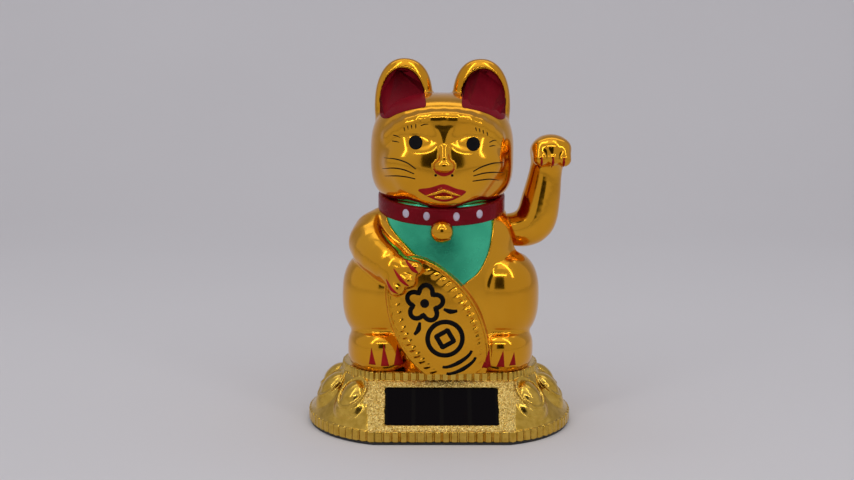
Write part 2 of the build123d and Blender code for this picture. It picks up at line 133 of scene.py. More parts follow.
def both(a, b, soft):
    return -join(-a, -b, soft)


def cut(a, b, soft):
    """a with b taken out."""
    return -join(-a, b, soft)


def limb(p, balls, soft):
    """Chain of (x, y, z, radius) balls."""
    d = None
    for (*a, ra), (*b, rb) in zip(balls, balls[1:]):
        piece = cone(p, a, b, ra, rb)
        d = piece if d is None else join(d, piece, soft)
    return d


def smooth_table(knots, values, count=1200):
    """Natural cubic spline through the knots, as a dense table for interpolation."""
    x, y = np.array(knots, float), np.array(values, float)
    n = len(x)
    h = np.diff(x)
    m = np.eye(n)
    rhs = np.zeros(n)
    for i in range(1, n - 1):
        m[i, i - 1 : i + 2] = h[i - 1], 2 * (h[i - 1] + h[i]), h[i]
        rhs[i] = 6 * ((y[i + 1] - y[i]) / h[i] - (y[i] - y[i - 1]) / h[i - 1])
    bend = np.linalg.solve(m, rhs)
    t = np.linspace(x[0], x[-1], count)
    i = np.clip(np.searchsorted(x, t) - 1, 0, n - 2)
    a, b = (x[i + 1] - t) / h[i], (t - x[i]) / h[i]
    curve = a * y[i] + b * y[i + 1] + ((a**3 - a) * bend[i] + (b**3 - b) * bend[i + 1]) * h[i] ** 2 / 6
    return t, curve


def rounded(points, count, closed):
    """Catmull-Rom curve through given points, resampled evenly."""
    pts = np.array(points, float)
    n = len(pts)
    segments = n if closed else n - 1
    out = []
    for s in range(segments):
        if closed:
            a, b, c, d = (pts[(s + o) % n] for o in (-1, 0, 1, 2))
        else:
            b, c = pts[s], pts[s + 1]
            a = pts[s - 1] if s else 2 * b - c
            d = pts[s + 2] if s + 2 < n else 2 * c - b
        for t in np.linspace(0, 1, 24, endpoint=False):
            bend, twist = 2 * a - 5 * b + 4 * c - d, 3 * b - 3 * c + d - a
            out.append(0.5 * (2 * b + (c - a) * t + bend * t**2 + twist * t**3))
    if not closed:
        out.append(pts[-1])
    out = np.array(out)
    if closed:
        out = np.vstack([out, out[:1]])
    run = np.concatenate([[0], np.cumsum(length(np.diff(out, axis=0)))])
    at = np.linspace(0, run[-1], count, endpoint=not closed)
    return np.stack([np.interp(at, run, out[:, i]) for i in range(out.shape[1])], -1)


# ---- the cat ----
TORSO = [  # height, half width, half depth, centre in Y
    (16.0, 24.0, 15.0, 2.0),
    (24.0, 25.6, 18.0, 1.5),
    (31.0, 26.4, 19.6, 1.0),
    (42.0, 26.6, 20.2, 1.0),
    (52.0, 25.6, 19.6, 1.0),
    (59.0, 24.3, 18.8, 0.8),
    (65.0, 21.8, 17.8, 0.4),
    (70.0, 19.4, 16.8, 0.0),
    (76.0, 17.6, 15.6, -0.4),
    (82.0, 16.6, 14.8, -0.6),
]
TORSO_TABLES = [smooth_table([row[0] for row in TORSO], [row[i] for row in TORSO]) for i in (1, 2, 3)]


def torso(p):
    a, b, c = (np.interp(p[:, 2], *table) for table in TORSO_TABLES)
    return both(ellipse(p[:, 0], p[:, 1] - c, a, b), p[:, 2] - 79.0, 3.0)


def haunch(p, d, side):
    """One thigh and foot, pressed softly against the torso."""
    thigh = ellipsoid(p, (side * 18.6, -3.0, 42.0), (13.2, 14.0, 15.0), power=2.6)
    foot = ellipsoid(p, (side * 18.9, -5.6, 25.3), (11.0, 13.4, 7.7), power=3.0)
    d = join(d, thigh, 1.0)
    return join(d, foot, 1.3)


def resting_arm(p):
    """Arm that holds the coin: shoulder, elbow, forearm and paw with three toes."""
    run = [
        (-18.6, 0.4, 63.6, 6.4),
        (-22.0, -3.6, 59.8, 7.4),
        (-20.2, -10.6, 56.4, 6.6),
        (-14.6, -17.2, 52.8, 5.6),
    ]
    arm = limb(p, rounded(run, 7, False), 1.4)
    for tip in ((-8.6, -22.5, 53.8), (-10.6, -23.3, 50.0), (-14.0, -22.7, 47.4)):
        arm = join(arm, cone(p, (-15.0, -17.8, 52.8), tip, 4.6, 2.5), 1.1)
    return arm


COIN_MIDDLE = (-1.3, 35.4)
COIN_LONG, COIN_SHORT, COIN_POWER = 24.0, 13.5, 1.85
COIN_TILT = math.radians(-60)  # of the long axis, seen from the front
COIN_RIM, COIN_BARS, BAR_PITCH = 0.8, 0.7, 2.35  # height of the rim and of the bars inside it


def coin_axes(x, z):
    """Distances along and across the coin's long axis."""
    dx, dz = x - COIN_MIDDLE[0], z - COIN_MIDDLE[1]
    c, s = math.cos(COIN_TILT), math.sin(COIN_TILT)
    return dx * c + dz * s, -dx * s + dz * c


def ridge(x, width):
    """1 in the middle of a band, falling smoothly to 0 at half its width."""
    t = np.clip(1 - np.abs(x) / (width / 2), 0, 1)
    return t * t * (3 - 2 * t)


def coin(p):
    """Oval plate: raised rim, and a row of short radial bars inside each long edge."""
    u, v = coin_axes(p[:, 0], p[:, 2])
    long, short = np.abs(u) / COIN_LONG + 1e-6, np.abs(v) / COIN_SHORT + 1e-6
    level = (long**COIN_POWER + short**COIN_POWER) ** (1 / COIN_POWER)
    slope = np.hypot(long ** (COIN_POWER - 1) / COIN_LONG, short ** (COIN_POWER - 1) / COIN_SHORT)
    slope = slope * level ** (1 - COIN_POWER) + 1e-6
    outside = (level - 1) / slope
    face = ellipsoid(p, (-1.0, -2.6, 37.0), (34.0, 19.6, 40.0))
    bars = 0.5 + 0.5 * np.cos(2 * math.pi * u / BAR_PITCH)
    relief = COIN_RIM * ridge(outside + 0.5, 1.9)
    relief += COIN_BARS * ridge(outside + 2.9, 4.0) * bars * ridge(u, 2.1 * COIN_LONG)
    return both(outside, face - relief, 0.7)


def ear(p, side):
    """Flat upright ear with a hollow front."""
    lean = spin(-side * 3.0, "y")
    outer = ellipsoid(p, (side * EAR_X, -0.4, EAR_Z - 0.2), (9.2, 5.0, 13.8), lean, 2.25)
    x = (p[:, 0] * side - EAR_X - 0.35) / EAR_HOLLOW[0]
    z = (p[:, 2] - EAR_Z + 1.0) / EAR_HOLLOW[1]
    inside = (np.sqrt(x * x + z * z) - 1) * EAR_HOLLOW[0]
    floor = p[:, 1] + 2.9 - 0.09 * (p[:, 2] - EAR_Z)
    return cut(outer, both(inside, floor, 0.5), 0.6)


BROW = [  # balls of the ridge over the eyes, from the middle outwards
    (0.0, -18.2, 99.4, 1.5),
    (7.0, -17.5, 98.8, 1.5),
    (12.6, -15.8, 96.8, 1.4),
    (16.8, -12.9, 93.4, 1.2),
]
HEAD_MID = (0.0, -1.6, 88.0)


def head(p):
    """Skull with its eye sockets, eyes, cheeks and brow."""
    up = ellipsoid(p, HEAD_MID, (22.8, 19.4, 18.9), power=2.7)
    down = ellipsoid(p, HEAD_MID, (22.8, 19.4, 17.0), power=3.5)
    d = np.where(p[:, 2] > HEAD_MID[2], up, down)
    for side in (1, -1):
        socket = ellipsoid(p, (side * 9.0, -23.4, 93.4), (7.6, 5.2, 4.9))
        d = cut(d, socket, 1.8)
        eye = ellipsoid(p, (side * 8.8, -15.3, 91.7), (6.4, 3.1, 3.1), spin(side * 16, "z"))
        d = join(d, eye, 1.3)
        cheek = ellipsoid(p, (side * 8.4, -15.2, 85.6), (9.0, 5.2, 5.2))
        d = join(d, cheek, 4.5)
    brow = [(-x, y, z, r) for x, y, z, r in BROW[:0:-1]] + BROW
    return join(d, limb(p, rounded(brow, 11, False), 0.4), 2.6)


FACET_SLOPE, FACET_SCALE = 0.27, 1.036  # flat front of the nose bridge: lean, length of the normal


def face(p, d):
    """Nose, muzzle and mouth, added to the head."""
    muzzle = ellipsoid(p, (0.0, -15.8, 81.4), (13.0, 5.6, 8.6))
    d = join(d, muzzle, 3.6)
    chin = ellipsoid(p, (0.0, -17.4, 75.2), (7.2, 4.3, 3.1))
    d = join(d, chin, 1.8)
    facet = -(p[:, 1] + 19.2 + FACET_SLOPE * (97.6 - p[:, 2])) / FACET_SCALE
    bridge = both(cone(p, (0.0, -15.4, 97.4), (0.0, -18.6, 92.0), 4.3, 2.0), facet, 0.25)
    bridge = join(bridge, cone(p, (0.0, -19.4, 92.6), (0.0, -21.8, 87.2), 1.1, 1.6), 0.6)
    d = join(d, bridge, 0.8)
    nose = ellipsoid(p, (0.0, -21.7, 85.1), (3.3, 2.5, 2.2))
    d = join(d, nose, 0.5)
    mouth = ellipsoid(p, (0.0, -24.3, 76.8), (7.4, 3.6, 2.3))
    d = cut(d, mouth, 0.6)
    lip = limb(p, [(-5.2, -20.4, 76.0, 0.6), (0.0, -21.3, 77.6, 0.8), (5.2, -20.4, 76.0, 0.6)], 0.3)
    lower = ellipsoid(p, (0.0, -20.7, 75.3), (3.6, 1.3, 0.9))
    return join(join(d, lip, 0.4), lower, 0.4)


def tail(p):
    run = [(-2.0, 19.4, 24.6, 3.8), (6.0, 20.6, 27.0, 3.8), (11.0, 19.8, 33.0, 3.2), (11.4, 18.6, 39.0, 2.2)]
    return limb(p, run, 2)


def collar_height(y):
    """Middle of the collar: it dips towards the front."""
    return COLLAR_Z + COLLAR_DIP * y


def collar(p):
    """Flat band round the neck, with rounded edges."""
    ring = np.abs(ellipse(p[:, 0], p[:, 1] + 0.3, *COLLAR_MIDDLE)) - COLLAR_HALF[0]
    height = np.abs(p[:, 2] - collar_height(p[:, 1])) - COLLAR_HALF[1]
    return both(ring, height, 0.9)


def arm_hole(p):
    """Hollow of the shoulder in which the raised arm turns."""
    radius = np.sqrt((p[:, 1] - PIVOT_Y) ** 2 + (p[:, 2] - PIVOT_Z) ** 2)
    bore = both(radius - 4.7, 12 - p[:, 0], 0.3)
    dish = ellipsoid(p, (27.5, PIVOT_Y, PIVOT_Z), (8.6, 9.6, 9.0))
    return join(bore, dish, 0.6)


def chest(p):
    """Torso and the shoulder of the raised arm."""
    return join(torso(p), ellipsoid(p, (17.6, 1.0, 62.0), (6.6, 9.0, 7.6)), 3.0)


def cat(p):
    """Outside of the body, without its collar."""
    d = chest(p)
    for side in (1, -1):
        d = haunch(p, d, side)
    d = join(d, resting_arm(p), 1.1)
    d = join(d, tail(p), 1.2)
    d = join(d, coin(p), 0.6)
    d = cut(d, arm_hole(p), 0.5)
    h = head(p)
    for side in (1, -1):
        h = join(h, ear(p, side), 1.1)
    return join(d, face(p, h), 0.6)


STUB_R = 4.2  # round root of the raised arm, in the hollow of the shoulder


def raised_arm(p):
    """The arm that waves: root, elbow, forearm and a paw bent forward."""
    run = [
        (21.2, PIVOT_Y, PIVOT_Z, STUB_R),
        (26.0, PIVOT_Y, 62.9, 5.4),
        (30.6, PIVOT_Y, 65.6, 6.2),
        (32.4, PIVOT_Y, 73.0, 5.8),
        (33.6, PIVOT_Y - 0.3, 81.0, 4.9),
        (34.5, PIVOT_Y - 0.9, 87.6, 4.9),
    ]
    d = limb(p, rounded(run, 16, False), 1.2)
    paw = ellipsoid(p, (34.8, -2.0, 88.8), (6.6, 6.2, 5.2), spin(-12, "x"))
    d = join(d, paw, 2.4)
    for x, drop in ((31.0, 0.2), (34.8, 0.0), (38.5, 0.3)):
        d = join(d, cone(p, (x * 0.9 + 3.48, -4.2, 89.6), (x, -6.6, 86.6 - drop), 2.8, 2.3), 0.9)
    stub = np.sqrt((p[:, 1] - PIVOT_Y) ** 2 + (p[:, 2] - PIVOT_Z) ** 2) - STUB_R
    stub = both(both(stub, 18.3 - p[:, 0], 0.4), p[:, 0] - 24.0, 0.4)
    return join(d, stub, 0.4)


# ---- the base ----
LOBE_X = 11.5  # its plan is two arcs, centred this far either side
RIM = (31.5, 30.0, 30.0)  # arc radius, distance of the front and of the back
RIM_LOW, RIM_TOP = 0.8, 4.3
FLANK_LOW, FLANK_HIGH = (30.8, 29.3, 29.3), (20.9, 17.9, 19.4)
BAND = (20.5, 17.5, 19.0)
BAND_Z = 17.0
BASE_WALL = 1.8
RIM_PITCH, BAND_PITCH = 2.6, 2.5
PETAL_ANGLES = (-48, -16, 16, 48)
PETAL_R, PETAL_Z, PETAL_LEAN = 22.9, 10.6, 42
LOBE, BUTTON, RING = (7.6, 6.7, 4.4), (5.2, 4.1, 3.2), (5.7, 4.6)  # half axes of a petal's parts
RIM_GROOVE, BAND_GROOVE = (0.6, 1.0), (0.65, 1.1)  # depth and width
SLOPE_MIDDLE = (0.0, -23.6, 10.65)
SLOPE_UP, SLOPE_OUT = (0.0, 0.668, 0.744), (0.0, -0.744, 0.668)
WINDOW, POCKET, POCKET_IN = (17.5, 6.35), (18.65, 7.45), 0.7
SANDY = (24.5, 9.0)  # half width and half height of the grained panel


def plan(p, radius, front, back):
    """Distance in plan from two arcs joined by a straight front and back."""
    x = np.maximum(np.abs(p[:, 0]) - LOBE_X, 0)
    d = np.sqrt(x * x + p[:, 1] ** 2) - radius
    return both(both(d, -p[:, 1] - front, 1.0), p[:, 1] - back, 1.0)


def around_rim(p):
    """Run along the outline from the middle of the front or back."""
    corner = math.sqrt(RIM[0] ** 2 - RIM[1] ** 2)
    x, y = np.abs(p[:, 0]), np.abs(p[:, 1])
    turn = np.arctan2(np.maximum(x - LOBE_X, 0), y + 1e-6) - math.atan2(corner, RIM[1])
    return np.where(turn > 0, LOBE_X + corner + RIM[0] * turn, x)


def ribs(p, pitch, width):
    """1 at the middle of each groove between the ribs."""
    run = around_rim(p)
    return ridge(run - pitch * np.round(run / pitch), width)


def slope_axes(p):
    """Across, up and out of the sloping front panel."""
    q = p - np.array(SLOPE_MIDDLE)
    return q[:, 0], q @ np.array(SLOPE_UP), q @ np.array(SLOPE_OUT)


def petal(p, side, angle):
    """Thick lotus petal lying on the slope, with a domed oval inside a fine raised ring."""
    q = (p - np.array([side * LOBE_X, 0, 0])) @ spin(angle if side > 0 else 180 - angle, "z")
    q = q - np.array([PETAL_R, 0, PETAL_Z])
    lean = math.radians(PETAL_LEAN)
    down = q[:, 0] * math.cos(lean) - q[:, 2] * math.sin(lean)
    out = q[:, 0] * math.sin(lean) + q[:, 2] * math.cos(lean)
    local = np.stack([down, q[:, 1], out], -1)
    lobe = ellipsoid(local, (1.2, 0, -0.4), LOBE)
    button = ellipsoid(local, (-0.6, 0, 2.0), BUTTON)
    level = np.sqrt(((down + 0.6) / RING[0]) ** 2 + (q[:, 1] / RING[1]) ** 2) + 1e-9
    ring = np.sqrt(((level - 1) * 5.2) ** 2 + (out - 3.2) ** 2) - 0.5
    return join(join(lobe, button, 0.3), ring, 0.3)


def base_sides(p, grooved):
    """Rim, flank, upper band and petals, open below."""
    z = p[:, 2]
    share = np.clip((z - RIM_TOP) / (BAND_Z - RIM_TOP), 0, 1)
    level = [low + (high - low) * share for low, high in zip(FLANK_LOW, FLANK_HIGH)]
    flank = both(plan(p, *level) * 0.77, z - BAND_Z, 0.4)
    rim = plan(p, *RIM)
    band = plan(p, *BAND)
    if grooved:
        rim = rim + RIM_GROOVE[0] * ribs(p, RIM_PITCH, RIM_GROOVE[1])
        band = band + BAND_GROOVE[0] * ribs(p, BAND_PITCH, BAND_GROOVE[1])
    rim = both(rim, z - RIM_TOP, 0.35)
    band = both(band, z - DECK_Z, 0.35)
    d = join(join(flank, rim, 0.25), band, 0.25)
    if grooved:
        for side in (1, -1):
            for angle in PETAL_ANGLES:
                d = join(d, petal(p, side, angle), 0.45)
    return both(d, z - DECK_Z - 0.02, 0.1)


COVER_SCREWS = [(29.0, 9.0), (-29.0, 9.0), (29.0, -9.0), (-29.0, -9.0)]
BODY_SCREWS = [(18.0, 5.0), (-18.0, 5.0)]
COIL_HOLE_R = 10.2


def post(p, x, y, radius):
    return np.sqrt((p[:, 0] - x) ** 2 + (p[:, 1] - y) ** 2) - radius


def base(p):
    """Hollow base with its window, coil hole and screw bosses."""
    z = p[:, 2]
    d = np.maximum(base_sides(p, True), RIM_LOW - z)
    d = np.maximum(d, -(base_sides(p, False) + BASE_WALL))
    for x, y in COVER_SCREWS:
        boss = np.maximum(post(p, x, y, 2.9), np.maximum(1.6 - z, z - 15.0))
        d = np.minimum(d, np.maximum(boss, -np.maximum(post(p, x, y, 1.0), z - 10)))
    across, up, out = slope_axes(p)
    window = np.maximum(np.maximum(np.abs(across) - WINDOW[0], np.abs(up) - WINDOW[1]), np.abs(out) - 6)
    pocket = np.maximum(np.abs(across) - POCKET[0], np.abs(up) - POCKET[1])
    pocket = np.maximum(pocket, np.maximum(out + POCKET_IN, -out - 8))
    d = np.maximum(d, -np.minimum(window, pocket))
    d = np.maximum(d, -np.maximum(post(p, 0, PIVOT_Y, COIL_HOLE_R), 13 - z))
    for x, y in BODY_SCREWS:
        d = np.maximum(d, -np.maximum(post(p, x, y, 1.5), 15 - z))
    return d


def bell(p):
    """Round bell with a slot across its lower front and a hole in the middle of the slot."""
    d = length(p - np.array(BELL_AT)) - BELL_R
    slot_z = BELL_AT[2] - 2.1
    slot = both(np.abs(p[:, 2] - slot_z) - 0.25, np.abs(p[:, 0]) - 2.4, 0.1)
    slot = np.maximum(slot, p[:, 1] + 20.0)
    hole = length(p - np.array([BELL_AT[0], BELL_AT[1] - 2.5, slot_z])) - 0.6
    return cut(d, np.minimum(slot, hole), 0.15)


# ---- meshing ----
def gradient(field, p, step=0.02):
    g = np.empty_like(p)
    for i in range(3):
        offset = np.zeros(3)
        offset[i] = step
        g[:, i] = (field(p + offset) - field(p - offset)) / (2 * step)
    return g


def settle(field, p, rounds):
    """Moves points on to the surface of a field along its gradient."""
    for _ in range(rounds):
        g = gradient(field, p)
        g2 = np.maximum((g * g).sum(-1), 0.05)
        move = np.clip(field(p) / g2, -0.6, 0.6)
        p = p - g * move[:, None]
    return p


def sample(field, low, step, counts, block=6):
    """Field on a grid, worked out only near the surface; elsewhere only its sign is right."""
    axes = [low[i] + step * np.arange(counts[i]) for i in range(3)]
    mids = [a[block // 2 :: block] if len(a) > block // 2 else a[:1] for a in axes]
    grid = np.stack(np.meshgrid(*mids, indexing="ij"), -1).reshape(-1, 3)
    rough = field(grid).reshape([len(m) for m in mids])
    index = [np.minimum(np.arange(counts[i]) // block, len(mids[i]) - 1) for i in range(3)]
    values = rough[np.ix_(*index)]
    near = np.abs(values) < block * step * 1.8
    i, j, k = np.nonzero(near)
    for start in range(0, len(i), 400000):
        part = slice(start, start + 400000)
        points = np.stack([axes[0][i[part]], axes[1][j[part]], axes[2][k[part]]], -1)
        values[i[part], j[part], k[part]] = field(points)
    return values


def net(values, low, step):
    """Surface net: one vertex in each cell that the surface crosses, quads between them."""
    inside = values < 0
    counts = np.array(values.shape)
    cells = np.zeros(counts - 1, np.int8)
    corners = [(a, b, c) for a in (0, 1) for b in (0, 1) for c in (0, 1)]
    for a, b, c in corners:
        cells += inside[a : counts[0] - 1 + a, b : counts[1] - 1 + b, c : counts[2] - 1 + c]
    i, j, k = np.nonzero((cells > 0) & (cells < 8))
    number = -np.ones(counts - 1, np.int64)
    number[i, j, k] = np.arange(len(i))
    total = np.zeros((len(i), 3))
    hits = np.zeros(len(i))
    for a in corners:
        for axis in range(3):
            if a[axis]:
                continue
            b = list(a)
            b[axis] = 1
            va = values[i + a[0], j + a[1], k + a[2]]
            vb = values[i + b[0], j + b[1], k + b[2]]
            crosses = (va < 0) != (vb < 0)
            t = np.where(crosses, va / np.where(crosses, va - vb, 1), 0)
            point = np.array(a, float)[None, :].repeat(len(i), 0)
            point[:, axis] = t
            total += point * crosses[:, None]
            hits += crosses
    base = np.stack([i, j, k], -1)
    verts = np.array(low) + step * (base + total / hits[:, None])
    faces = []
    for axis in range(3):
        u, v = (axis + 1) % 3, (axis + 2) % 3
        one = [slice(None)] * 3
        two = [slice(None)] * 3
        one[axis], two[axis] = slice(0, -1), slice(1, None)
        s0, s1 = inside[tuple(one)], inside[tuple(two)]
        e = np.stack(np.nonzero(s0 != s1), -1)
        e = e[(e[:, u] > 0) & (e[:, v] > 0) & (e[:, u] < counts[u] - 1) & (e[:, v] < counts[v] - 1)]
        quad = []
        for du, dv in ((1, 1), (0, 1), (0, 0), (1, 0)):
            c = e.copy()
            c[:, u] -= du
            c[:, v] -= dv
            quad.append(number[c[:, 0], c[:, 1], c[:, 2]])
        quad = np.stack(quad, -1)
        flip = ~s0[e[:, 0], e[:, 1], e[:, 2]]
        quad[flip] = quad[flip][:, ::-1]
        faces.append(quad)
    return verts, np.concatenate(faces)


def relax(verts, faces, field):
    """Evens out the net without leaving the surface."""
    edges = np.concatenate([faces[:, [a, (a + 1) % 4]] for a in range(4)])
    count = np.bincount(edges[:, 0], minlength=len(verts))
    for _ in range(2):
        total = np.zeros_like(verts)
        for axis in range(3):
            total[:, axis] = np.bincount(edges[:, 0], verts[edges[:, 1], axis], len(verts))
        mean = total / np.maximum(count, 1)[:, None]
        verts = settle(field, verts + 0.5 * (mean - verts), 1)
    return settle(field, verts, 1)


def skin(field, low, high, step):
    """Vertices and quads of a field's surface inside a box."""
    counts = [int(math.ceil((high[i] - low[i]) / step)) + 1 for i in range(3)]
    values = sample(field, low, step, counts)
    verts, faces = net(values, low, step)
    return relax(settle(field, verts, 2), faces, field), faces


def mesh_object(name, verts, faces, material):
    """New smooth object from millimetre vertices."""
    mesh = bpy.data.meshes.new(name)
    mesh.from_pydata((np.asarray(verts) * MM).tolist(), [], [list(map(int, f)) for f in faces])
    mesh.validate()
    mesh.materials.append(material)
    mesh.polygons.foreach_set("use_smooth", [True] * len(mesh.polygons))
    mesh.update()
    piece = bpy.data.objects.new(name, mesh)
    bpy.context.scene.collection.objects.link(piece)
    return piece


def slice_off(piece, point, normal):
    """Cuts away what lies on the normal's side of a plane, and closes the cut."""
    mesh = bmesh.new()
    mesh.from_mesh(piece.data)
    found = bmesh.ops.bisect_plane(
        mesh,
        geom=mesh.verts[:] + mesh.edges[:] + mesh.faces[:],
        plane_co=[c * MM for c in point],
        plane_no=normal,
        clear_outer=True,
        dist=1e-7,
    )
    edges = [g for g in found["geom_cut"] if isinstance(g, bmesh.types.BMEdge)]
    done = bmesh.ops.triangle_fill(mesh, edges=edges, use_beauty=True)
    for g in done["geom"]:
        if isinstance(g, bmesh.types.BMFace):
            g.smooth = False
    mesh.to_mesh(piece.data)
    mesh.free()


def read(items, key, width=1, kind=float):
    """One property of all the items, as an array."""
    values = np.empty(width * len(items), kind)
    items.foreach_get(key, values)
    return values


def true_normals(piece, field):
    """Shading normals straight from the field, except on cut faces."""
    mesh = piece.data
    normals = outward(field, read(mesh.vertices, "co", 3).reshape(-1, 3) / MM)
    corner = read(mesh.loops, "vertex_index", kind=np.int32)
    smooth = read(mesh.polygons, "use_smooth", kind=bool)
    sizes = read(mesh.polygons, "loop_total", kind=np.int32)
    flat = read(mesh.polygons, "normal", 3).reshape(-1, 3).repeat(sizes, 0)
    wanted = np.where(smooth.repeat(sizes)[:, None], normals[corner], flat)
    mesh.normals_split_custom_set(wanted.tolist())


def duplicate(piece, name):
    copy = piece.copy()
    copy.data = piece.data.copy()
    copy.name = name
    bpy.context.scene.collection.objects.link(copy)
    return copy


# ---- paint on a moulding ----
CAST_FROM = -42.0  # in front of everything


def cast(field, xz):
    """Where lines along Y first meet a field, seen from the front."""
    p = np.stack([xz[:, 0], np.full(len(xz), CAST_FROM), xz[:, 1]], -1).astype(float)
    for _ in range(160):
        move = np.clip(field(p) * 0.85, -1, 8)
        p[:, 1] += move
        if np.abs(move).max() < 0.02:
            break
    return settle_along_y(field, p)


def settle_along_y(field, p):
    """Moves points on to the surface without changing where they are seen from the front."""
    offset = np.array([0, 0.02, 0])
    for _ in range(4):
        slope = (field(p + offset) - field(p - offset)) / 0.04
        slope = np.where(np.abs(slope) < 0.08, -0.08, slope)
        p[:, 1] -= np.clip(field(p) / slope, -0.5, 0.5)
    return p


def outward(field, p):
    g = gradient(field, p, 0.05)
    return g / np.maximum(length(g), 1e-6)[:, None]


def patch(field, outline, rings=8, around=72, crown=0.03, lift=FILM):
    """Filled film with a rounded outline, as (verts, faces).  The outline is seen from the front."""
    edge = rounded(outline, around, True)
    middle = edge.mean(0)
    verts = [middle[None, :]]
    levels = [0.0]
    for r in range(1, rings + 1):
        share = r / rings
        verts.append(middle + (edge - middle) * share)
        levels += [share] * around
    flat = np.vstack(verts)
    levels = np.array(levels)
    p = cast(field, flat)
    n = outward(field, p)
    height = lift + crown * (1 - levels**2)
    height[levels == 1.0] = lift * 0.6
    top = p + n * height[:, None]
    skirt = p[-around:] - n[-around:] * 0.15
    faces = [(0, 1 + (i + 1) % around, 1 + i) for i in range(around)]
    for r in range(rings):
        a, b = 1 + r * around, 1 + (r + 1) * around
        for i in range(around):
            j = (i + 1) % around
            faces.append((a + i, a + j, b + j, b + i))
    faces.append(tuple(range(b, b + around)))
    return np.vstack([top, skirt]), faces


ACROSS = 5  # points across a brush stroke, without its edges


def stroke(field, points, widths, lift=0.09, count=40, closed=False):
    """Brush stroke along a line seen from the front; the widths are spaced evenly along it."""
    line = rounded(points, count, closed)
    at = np.linspace(0, 1, count)
    width = np.interp(at, np.linspace(0, 1, len(widths)), widths)
    p = cast(field, line)
    n = outward(field, p)
    if closed:
        t = np.roll(p, -1, 0) - np.roll(p, 1, 0)
    else:
        t = np.gradient(p, axis=0)
    t /= np.maximum(length(t), 1e-9)[:, None]
    side = np.cross(n, t)
    side /= np.maximum(length(side), 1e-9)[:, None]
    shares = np.concatenate([[-1], np.linspace(-1, 1, ACROSS), [1]])
    heights = 0.02 + lift * (1 - shares**2)
    heights[[0, -1]] = -0.12
    spots = p[None] + side[None] * (shares[:, None] * width[None] / 2)[..., None]
    q = settle(field, spots.reshape(-1, 3), 3)
    verts = q + outward(field, q) * heights.repeat(count)[:, None]
    n_rows = len(shares)
    faces = []
    for r in range(n_rows):
        s = (r + 1) % n_rows
        for i in range(count if closed else count - 1):
            j = (i + 1) % count
            faces.append((r * count + i, r * count + j, s * count + j, s * count + i))
    if not closed:
        faces.append(tuple(r * count for r in range(n_rows)))
        faces.append(tuple(r * count + count - 1 for r in reversed(range(n_rows))))
    return verts, faces


def gather(parts):
    """Joins (verts, faces) pairs."""
    verts, faces, start = [], [], 0
    for v, f in parts:
        verts.append(v)
        faces += [tuple(int(i) + start for i in face) for face in f]
        start += len(v)
    return np.concatenate(verts), faces


def outward_normals(piece):
    mesh = bmesh.new()
    mesh.from_mesh(piece.data)
    bmesh.ops.recalc_face_normals(mesh, faces=mesh.faces)
    mesh.to_mesh(piece.data)
    mesh.free()


# ---- materials ----
def new_material(name):
    material = bpy.data.materials.new(name)
    material.use_nodes = True
    nodes, links = material.node_tree.nodes, material.node_tree.links
    return material, nodes, links, nodes["Principled BSDF"]


def noise(nodes, links, scale, detail=3.0, rough=0.5):
    """Noise in object space; scale is in cells per metre."""
    where = nodes.new("ShaderNodeTexCoord")
    grain = nodes.new("ShaderNodeTexNoise")
    grain.inputs["Scale"].default_value = scale
    grain.inputs["Detail"].default_value = detail
    grain.inputs["Roughness"].default_value = rough
    links.new(where.outputs["Object"], grain.inputs["Vector"])
    return grain.outputs["Fac"]


def ramp(nodes, links, value, stops):
    """Colour ramp with (place, colour) stops."""
    node = nodes.new("ShaderNodeValToRGB")
    while len(node.color_ramp.elements) < len(stops):
        node.color_ramp.elements.new(0.5)
    for element, (place, colour) in zip(node.color_ramp.elements, stops):
        element.position = place
        element.color = (*colour, 1)
    links.new(value, node.inputs["Fac"])
    return node.outputs["Color"]


def spread(nodes, links, value, low, high):
    node = nodes.new("ShaderNodeMapRange")
    node.inputs["From Min"].default_value = 0.3
    node.inputs["From Max"].default_value = 0.7
    node.inputs["To Min"].default_value = low
    node.inputs["To Max"].default_value = high
    links.new(value, node.inputs["Value"])
    return node.outputs["Result"]


def bump(nodes, links, shader, height, strength, distance):
    """Fine relief on a shader; distance in metres."""
    node = nodes.new("ShaderNodeBump")
    node.inputs["Strength"].default_value = strength
    node.inputs["Distance"].default_value = distance
    links.new(height, node.inputs["Height"])
    links.new(node.outputs["Normal"], shader.inputs["Normal"])


def surface(name, tones, tone_noise, metallic, rough, rough_noise, relief_noise, strength, distance):
    """Material whose colour, roughness and relief each follow a noise of (scale, detail, ...)."""
    material, nodes, links, shader = new_material(name)
    links.new(ramp(nodes, links, noise(nodes, links, *tone_noise), tones), shader.inputs["Base Color"])
    shader.inputs["Metallic"].default_value = metallic
    links.new(spread(nodes, links, noise(nodes, links, *rough_noise), *rough), shader.inputs["Roughness"])
    bump(nodes, links, shader, noise(nodes, links, *relief_noise), strength, distance)
    return material, shader


def plated_gold():
    """Vacuum-metallised plastic: a tinted mirror, faintly uneven, with a few duller patches."""
    tones = [(0.3, (0.76, 0.335, 0.010)), (0.7, (0.84, 0.395, 0.018))]
    material, shader = surface(
        "plated_gold", tones, (60, 2), 1.0, (0.11, 0.17), (240, 4), (130, 1), 0.02, 0.0003
    )
    shader.inputs["Coat Weight"].default_value = 0.2
    shader.inputs["Coat Roughness"].default_value = 0.08
    return material


def base_gold():
    """Paler, slightly brushed plating of the base."""
    tones = [(0.3, (0.58, 0.35, 0.045)), (0.7, (0.78, 0.50, 0.09))]
    return surface("base_gold", tones, (500, 4), 1.0, (0.10, 0.20), (700, 3), (1500, 2), 0.16, 0.0002)[0]


def sandy_gold():
    """Plating over a coarse sparkling grain, as round the window."""
    tones, grain = [(0.36, (0.52, 0.31, 0.045)), (0.62, (1.0, 0.76, 0.26))], (1500, 3, 0.7)
    return surface("sandy_gold", tones, grain, 1.0, (0.22, 0.36), (900, 2), grain, 0.8, 0.0006)[0]


